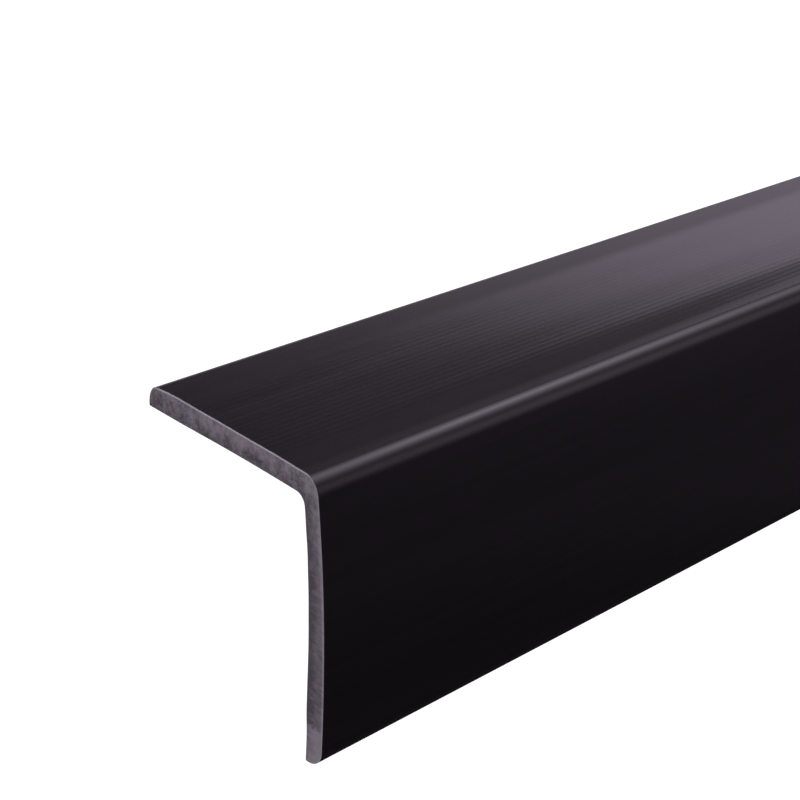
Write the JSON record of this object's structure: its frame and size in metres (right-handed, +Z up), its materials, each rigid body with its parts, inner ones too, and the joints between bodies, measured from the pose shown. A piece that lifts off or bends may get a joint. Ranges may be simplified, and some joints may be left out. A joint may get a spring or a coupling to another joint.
{
  "type": "edge protection angle",
  "caption": "Long L-section strip of black rigid plastic with a rounded heel and rounded tips, which covers and protects the edge of a step, wall corner or board.",
  "frame": {"origin": "middle of the seat, the flat underside of the top leg, half way along the length", "axes": "+X along the extrusion, +Z up and out of the top leg's outer face, -Y out of the hanging leg's outer face"},
  "size_m": [1, 0.0427, 0.05],
  "materials": {
    "rigid_pvc": "black rigid PVC, glossy as it left the die, with faint lines along the extrusion on the top face, and matt speckled grey where it is sawn across"
  },
  "bodies": {
    "root": {"angle_profile": "rigid_pvc"}
  },
  "joints": []
}
